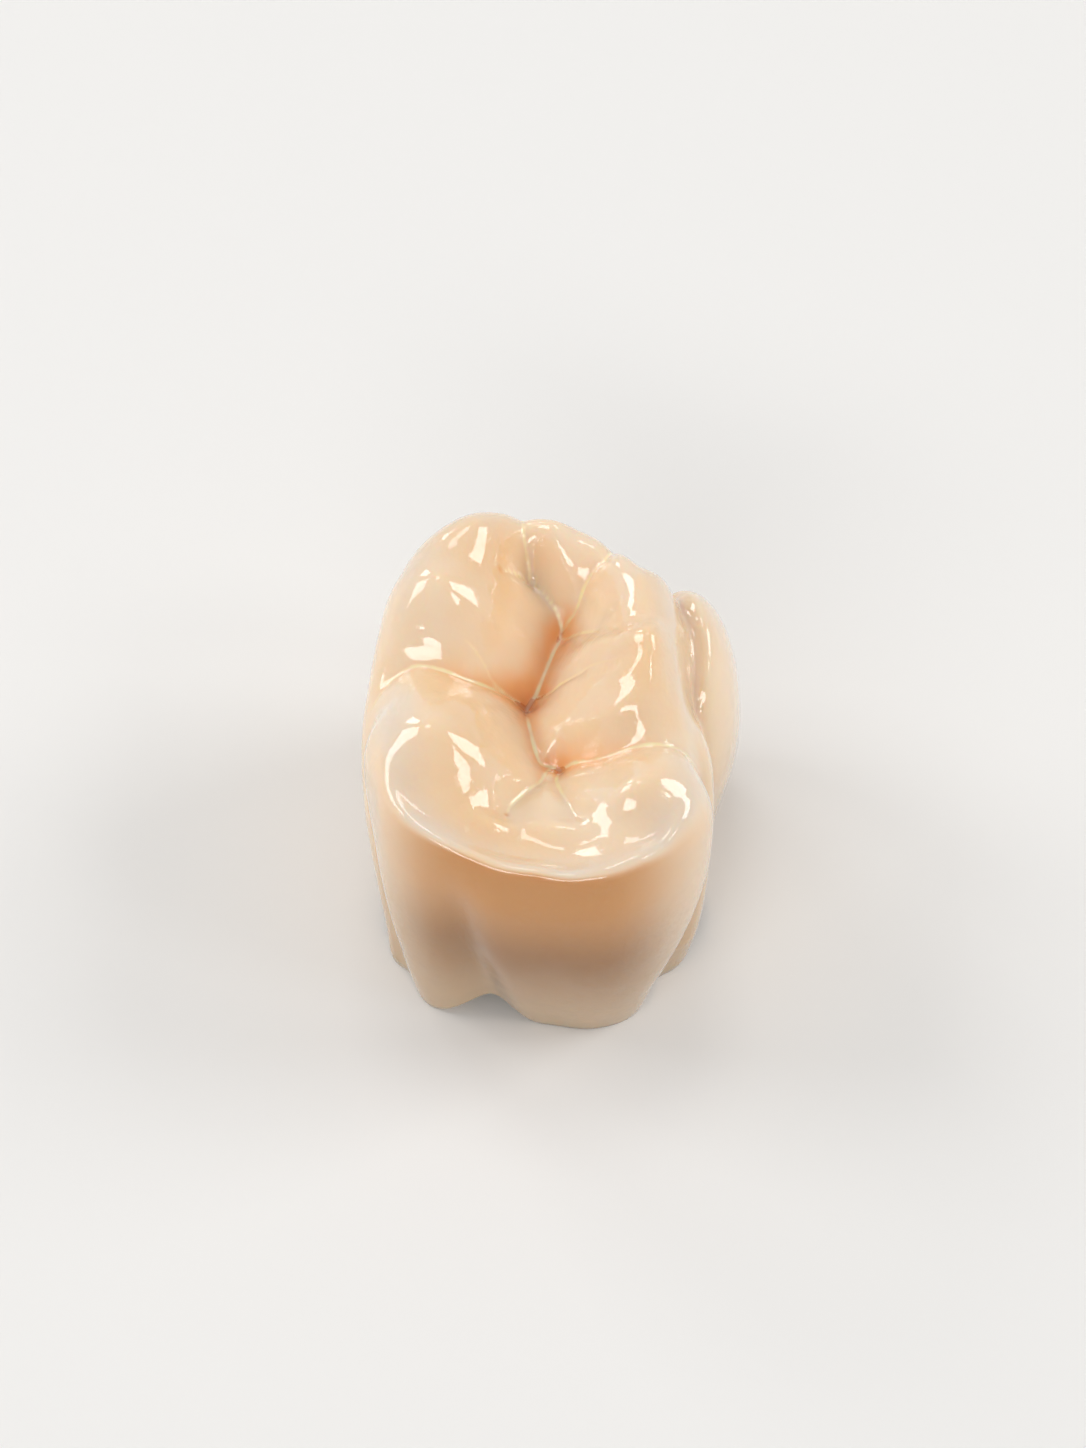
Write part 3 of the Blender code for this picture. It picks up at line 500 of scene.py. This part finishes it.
class Wire:
    """One output of a node. Arithmetic on it adds Math nodes to its tree."""

    def __init__(self, bench, socket):
        self.bench, self.socket = bench, socket

    def reckon(self, operation, *values):
        return self.bench.add("ShaderNodeMath", {"operation": operation}, dict(enumerate(values)))

    def __add__(self, other):
        return self.reckon("ADD", self, other)

    __radd__ = __add__

    def __sub__(self, other):
        return self.reckon("SUBTRACT", self, other)

    def __rsub__(self, other):
        return self.reckon("SUBTRACT", other, self)

    def __mul__(self, other):
        return self.reckon("MULTIPLY", self, other)

    __rmul__ = __mul__

    def __truediv__(self, other):
        return self.reckon("DIVIDE", self, other)

    def __neg__(self):
        return self.reckon("MULTIPLY", self, -1.0)

    def exp(self):
        return self.reckon("EXPONENT", self)

    def ramp(self, low, high):
        """0 below low, 1 above high, eased between them."""
        return self.bench.add("ShaderNodeMapRange", {"interpolation_type": "SMOOTHSTEP"},
                              {0: self, 1: low, 2: high})


class Bench:
    """Adds nodes to one tree: settings first, then values or links of sockets."""

    def __init__(self, tree):
        self.tree = tree

    def add(self, kind, settings=None, sockets=None, output=0):
        node = self.tree.nodes.new(kind)
        for name, value in (settings or {}).items():
            setattr(node, name, value)
        for name, value in (sockets or {}).items():
            if isinstance(value, Wire):
                self.tree.links.new(value.socket, node.inputs[name])
            else:
                node.inputs[name].default_value = value
        return Wire(self, node.outputs[output])


fissure_lines = bpy.data.curves.new("fissure_lines", "CURVE")
fissure_lines.dimensions = "3D"
for path, _ in fissure_paths:
    x, y = path[:, 0], path[:, 1]
    inside = np.hypot(x, y) < wall_reach(np.arctan2(y, x), np.full_like(x, wall_level)) - wall_clearance
    x, y, taper = x[inside], y[inside], np.clip(2 * path[inside, 2], 0, 1)
    floor_start = np.column_stack([x, y, np.full_like(x, search_level)])
    height = search_level + surface_along(floor_start, np.tile([0.0, 0.0, 1.0], (len(x), 1)), sampled)
    on_floor = (np.column_stack([x, y, height]) - own_low) * to_frame + cad_low
    spline = fissure_lines.splines.new("POLY")
    spline.points.add(len(on_floor) - 1)
    spline.points.foreach_set("co", np.column_stack([on_floor, np.ones(len(x))]).ravel())
    spline.points.foreach_set("radius", taper.astype(np.float32))
fissure_guide = bpy.data.objects.new("fissure_guide", fissure_lines)
bpy.context.scene.collection.objects.link(fissure_guide)

carving = bpy.data.node_groups.new("fissure_carving", "GeometryNodeTree")
for name, kind in (("Shell", "NodeSocketGeometry"), ("Fissures", "NodeSocketObject"),
                   ("Cut Depth", "NodeSocketFloat"), ("Cut Breadth", "NodeSocketFloat"),
                   ("Line Breadth", "NodeSocketFloat"),
                   ("Ripple Depth", "NodeSocketFloat"), ("Ripple Scale", "NodeSocketFloat"),
                   ("Glaze", "NodeSocketMaterial")):
    carving.interface.new_socket(name=name, in_out="INPUT", socket_type=kind)
carving.interface.new_socket(name="Carved", in_out="OUTPUT", socket_type="NodeSocketGeometry")
bench = Bench(carving)
group_input = carving.nodes.new("NodeGroupInput")
given = {socket.name: Wire(bench, socket) for socket in group_input.outputs if socket.name}
curves = bench.add("GeometryNodeObjectInfo", {"transform_space": "RELATIVE"},
                   {"Object": given["Fissures"]}, "Geometry")
radius = bench.add("GeometryNodeInputRadius")
curves = bench.add("GeometryNodeStoreNamedAttribute", {"data_type": "FLOAT", "domain": "POINT"},
                   {"Geometry": curves, "Name": "taper", "Value": radius})
threads = bench.add("GeometryNodeCurveToMesh", None, {"Curve": curves})
gap = bench.add("GeometryNodeProximity", {"target_element": "EDGES"}, {0: threads}, "Distance")
nearest = bench.add("GeometryNodeSampleNearest", {"domain": "POINT"}, {"Geometry": threads})
taper = bench.add("GeometryNodeInputNamedAttribute", {"data_type": "FLOAT"}, {"Name": "taper"})
taper = bench.add("GeometryNodeSampleIndex", {"data_type": "FLOAT", "domain": "POINT"},
                  {"Geometry": threads, "Value": taper, "Index": nearest})
hollow_mark = bench.add("GeometryNodeInputNamedAttribute", {"data_type": "FLOAT"}, {"Name": "hollow"})
away = gap / given["Cut Breadth"]
cut = taper * (-(away * away)).exp()
# Nearness to the fissure lines: it carries the painted highlight line along them and their brown specks.
line_away = gap / given["Line Breadth"]
highlight_and_speck_line = taper * (-(line_away * line_away)).exp()
ripple = bench.add("ShaderNodeTexNoise", {"noise_dimensions": "3D"},
                   {"Scale": given["Ripple Scale"], "Detail": 2.0, "Roughness": 0.45})
ripple = (ripple - 0.5) * given["Ripple Depth"] * 2.0 * (1.0 - hollow_mark)
outward = bench.add("GeometryNodeInputNormal")
shift = bench.add("ShaderNodeVectorMath", {"operation": "SCALE"},
                  {0: outward, "Scale": ripple - cut * given["Cut Depth"]})
carved = bench.add("GeometryNodeSetPosition", None, {"Geometry": given["Shell"], "Offset": shift})
carved = bench.add("GeometryNodeStoreNamedAttribute", {"data_type": "FLOAT", "domain": "POINT"},
                   {"Geometry": carved, "Name": "fissure", "Value": highlight_and_speck_line})
carved = bench.add("GeometryNodeRealizeInstances", None, {"Geometry": carved})
carved = bench.add("GeometryNodeSetMaterial", None, {"Geometry": carved, "Material": given["Glaze"]})
finished = carving.nodes.new("NodeGroupOutput")
carving.links.new(carved.socket, finished.inputs["Carved"])


# Glaze. Layered cream ceramic under a clear fired glaze: greyer and clearer at
# the cusps, orange in the valleys, a painted highlight line along the fissures with
# brown in their pits, satin in the hollow.
def shade(red, green, blue):
    """A colour as a screen shows it, made linear for a socket."""
    values = [c / 255 for c in (red, green, blue)]
    return tuple(c / 12.92 if c <= 0.04045 else ((c + 0.055) / 1.055) ** 2.4 for c in values) + (1.0,)


cream, warm_cream = shade(240, 216, 186), shade(240, 202, 156)
clear_edge = shade(218, 206, 192)
# The pale fissure colour is a painted highlight; the pit brown is a real stain.
valley_orange, painted_fissure_highlight, pit_brown = shade(252, 166, 78), shade(255, 236, 186), shade(216, 120, 38)
# The wall browns are painted shade on the side turned to the camera, partly the ceramic's own warmer tone;
# the foot colour is the ceramic's own.
shaded_wall_brown, shaded_wall_band, wall_foot = shade(148, 100, 48), shade(202, 142, 78), shade(196, 168, 136)
side_cream = shade(240, 212, 178)
hollow_white = shade(232, 216, 196)

glaze = bpy.data.materials.new("glazed_ceramic")
glaze.use_nodes = True
glaze.node_tree.nodes.clear()
bench = Bench(glaze.node_tree)
place = bench.add("ShaderNodeTexCoord", output="Object")


def mark(name):
    """One of the values stored on the shell's points."""
    settings = {"attribute_name": name, "attribute_type": "GEOMETRY"}
    return bench.add("ShaderNodeAttribute", settings, output="Fac")


def tint(share, below, above):
    """below where share is 0, above where it is 1."""
    return bench.add("ShaderNodeMix", {"data_type": "RGBA"}, {0: share, 6: below, 7: above}, 2)


def cloud(scale, detail=2.0):
    """Soft noise in the ceramic; scale is about its patches in a metre."""
    return bench.add("ShaderNodeTexNoise", {"noise_dimensions": "3D"},
                     {"Vector": place, "Scale": scale, "Detail": detail})


top, rise, valley_mark, fissure_mark = mark("top"), mark("rise"), mark("valley"), mark("fissure")
rim_mark, shaded_back_share, pit_mark, hollow_mark = mark("rim"), mark("back_face"), mark("pit"), mark("hollow")
colour = tint(cloud(260.0).ramp(0.35, 0.7), cream, warm_cream)
edge_share = (rim_mark * (0.55 + 0.9 * (cloud(420.0) - 0.5))).ramp(0.05, 0.7)
colour = tint(edge_share * 0.75, colour, clear_edge)
glow = (valley_mark + 0.4 * (cloud(700.0, 3.0) - 0.5)).ramp(0.5, 1.1)
colour = tint(glow * 0.72, colour, valley_orange)
# On the back face, turned to the camera, the wall is painted darker and browner up to an orange band under
# the rim. This is painted shade, partly the ceramic's warmer tone. The other sides go from the foot colour
# to cream.
wall_colour = tint(rise.ramp(0.2, 4.2), wall_foot, shaded_wall_brown)
wall_colour = tint(rise.ramp(3.2, 6.4), wall_colour, shaded_wall_band)
wall_colour = tint(shaded_back_share, tint(rise.ramp(0.0, 5.0), wall_foot, side_cream), wall_colour)
colour = tint((1.0 - top).ramp(0.2, 0.95), colour, wall_colour)
# The pale line along each fissure is a painted highlight, standing in for the lamps' glint on the glaze in
# the fissure floor.
fissure_highlight_share = (fissure_mark * (0.9 + 1.2 * (cloud(1500.0) - 0.5))).ramp(0.3, 1.0)
colour = tint(fissure_highlight_share * 0.9, colour, painted_fissure_highlight)
speck = (cloud(2400.0, 4.0) * fissure_mark.ramp(0.02, 0.5) * valley_mark).ramp(0.6, 0.7)
colour = tint(speck * 0.7, colour, pit_brown)
colour = tint(pit_mark * 0.6, colour, pit_brown)
colour = tint(hollow_mark, colour, hollow_white)
roughness = 0.04 + 0.04 * cloud(1800.0).ramp(0.4, 0.8) + 0.4 * hollow_mark
pebble = (cloud(5200.0, 1.0) * 0.25 + cloud(1700.0, 2.0)) * (0.25 + cloud(260.0).ramp(0.42, 0.62))
relief = bench.add("ShaderNodeBump", None, {"Strength": 0.6, "Distance": 0.00006, "Height": pebble})
surface = bench.add("ShaderNodeBsdfPrincipled", {"subsurface_method": "RANDOM_WALK"}, {
    "Base Color": colour, "Roughness": roughness, "IOR": 1.54, "Specular IOR Level": 0.15,
    "Subsurface Weight": 0.5, "Subsurface Radius": (1.0, 0.55, 0.28), "Subsurface Scale": 0.0008,
    "Coat Weight": 1.0, "Coat Roughness": 0.02, "Coat IOR": 1.6, "Normal": relief})
glaze_out = glaze.node_tree.nodes.new("ShaderNodeOutputMaterial")
glaze.node_tree.links.new(surface.socket, glaze_out.inputs["Surface"])

rim_start, rim_span, back_face_span = 0.62, 0.3, 40
rim_share = np.hypot(px, py) / round_outline(bulge_outline, bearing)
edge = np.clip((rim_share - rim_start) / rim_span, 0, 1)
off_valley = np.clip(1 - 1.7 * valley, 0, 1)
# Pits: place and radius
pits = [(-0.65, 1.2, 0.05), (-1.35, 4.5, 0.06), (-1.15, -2.75, 0.06), (0.3, 3.85, 0.05)]
spots = sum(np.exp(-((px - x) ** 2 + (py - y) ** 2) / size**2) for x, y, size in pits)
for name, values in {
    "rim": np.where(is_outer, edge * above_wall * off_valley, 0),
    # Where the wall faces the camera; the shader paints shade there.
    "back_face": np.where(is_outer, back_share(bearing, back_face_span), 0),
    "pit": np.where(is_outer & (pz > 4), np.clip(spots, 0, 1), 0),
}.items():
    shell_mesh.attributes.new(name, "FLOAT", "POINT").data.foreach_set("value", values.astype(np.float32))

carver = shell.modifiers.new("fissure_carving", "NODES")
carver.node_group = carving
inputs = {item.name: item.identifier for item in carving.interface.items_tree if item.in_out == "INPUT"}
for name, value in {"Fissures": fissure_guide, "Cut Depth": fissure_cut, "Cut Breadth": fissure_breadth,
                    "Line Breadth": line_breadth, "Ripple Depth": ripple_depth,
                    "Ripple Scale": ripple_scale, "Glaze": glaze}.items():
    carver[inputs[name]] = value
bpy.context.view_layer.update()
carved_mesh = bpy.data.meshes.new_from_object(shell.evaluated_get(bpy.context.evaluated_depsgraph_get()))
shell.modifiers.remove(carver)
shell.data = carved_mesh
bpy.data.objects.remove(fissure_guide)
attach(shell, "root")
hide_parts("ceramic_crown")


# Studio. A pale floor, five softboxes and a strip light around the crown, and an
# even pale room that lights it at less than half strength and is seen and
# mirrored as pale.
floor_mesh = bpy.data.meshes.new("studio_floor")
floor_mesh.from_pydata([(-1, -1, 0), (1, -1, 0), (1, 1, 0), (-1, 1, 0)], [], [(0, 1, 2, 3)])
studio_floor = bpy.data.objects.new("studio_floor", floor_mesh)
studio_floor.location.z = -0.00001
bpy.context.scene.collection.objects.link(studio_floor)
floor_paint = bpy.data.materials.new("pale_floor")
floor_paint.use_nodes = True
floor_paint.node_tree.nodes["Principled BSDF"].inputs["Base Color"].default_value = shade(236, 234, 231)
floor_paint.node_tree.nodes["Principled BSDF"].inputs["Roughness"].default_value = 0.6
floor_mesh.materials.append(floor_paint)

room = bpy.data.worlds.new("pale_room")
bpy.context.scene.world = room
room.use_nodes = True
room.node_tree.nodes.clear()
bench = Bench(room.node_tree)
room_level, room_colour = 0.44, (0.95, 0.96, 0.97, 1.0)
seen = [bench.add("ShaderNodeLightPath", output=name) for name in
        ("Is Camera Ray", "Is Glossy Ray", "Is Transmission Ray")]
shown = bench.add("ShaderNodeMath", {"operation": "MAXIMUM"},
                  {0: bench.add("ShaderNodeMath", {"operation": "MAXIMUM"}, {0: seen[0], 1: seen[1]}),
                   1: seen[2]})
backdrop = bench.add("ShaderNodeBackground", None,
                     {"Color": room_colour, "Strength": room_level + (1.0 - room_level) * shown})
world_out = room.node_tree.nodes.new("ShaderNodeOutputWorld")
room.node_tree.links.new(backdrop.socket, world_out.inputs["Surface"])

aim_point = (-0.21, 1.5, 5.0)
middle = Vector(((np.array(aim_point) - own_low) * to_frame + cad_low).tolist())
lamp_distance = 0.30


def softbox(name, bearing_angle, lift, breadth, height, watts):
    """A lamp aimed at the crown: degrees from the front, degrees up, size and power."""
    light = bpy.data.lights.new(name, "AREA")
    light.shape = "RECTANGLE"
    light.size, light.size_y, light.energy = breadth, height, watts
    lamp = bpy.data.objects.new(name, light)
    a, e = math.radians(bearing_angle), math.radians(lift)
    aim = Vector((math.sin(a) * math.cos(e), math.cos(a) * math.cos(e), math.sin(e)))
    lamp.location = middle + lamp_distance * aim
    lamp.rotation_mode = "QUATERNION"
    lamp.rotation_quaternion = aim.to_track_quat("Z", "Y")
    bpy.context.scene.collection.objects.link(lamp)


softbox("key_softbox", -8.0, 66.0, 0.09, 0.09, 0.08)
softbox("left_softbox", -72.0, 34.0, 0.14, 0.14, 0.26)
softbox("right_softbox", 76.0, 33.0, 0.14, 0.14, 0.30)
softbox("back_strip", -160.0, 31.0, 0.28, 0.05, 0.24)
softbox("far_softbox", -36.0, 24.0, 0.08, 0.08, 0.09)
softbox("side_softbox", 112.0, 40.0, 0.06, 0.06, 0.06)

# Camera. It looks down on the back of the crown, and its lens follows from how large
# the crown stands in the picture's 1448 rows.
view_lift, view_distance = math.radians(52.0), 0.150
picture_height, focal_pixels, sensor_size = 1448, 37.35 * 150.0, 36.0
camera_data = bpy.data.cameras.new("camera")
camera_data.sensor_width = sensor_size
camera_data.lens = sensor_size * focal_pixels / picture_height
camera_data.clip_start, camera_data.clip_end = 0.01, 10.0
camera = bpy.data.objects.new("camera", camera_data)
back = Vector((0.0, -math.cos(view_lift), math.sin(view_lift)))
camera.location = middle + view_distance * back
camera.rotation_mode = "QUATERNION"
camera.rotation_quaternion = (-back).to_track_quat("-Z", "Y")
bpy.context.scene.collection.objects.link(camera)
bpy.context.scene.camera = camera
bpy.context.scene.view_settings.view_transform = "Standard"
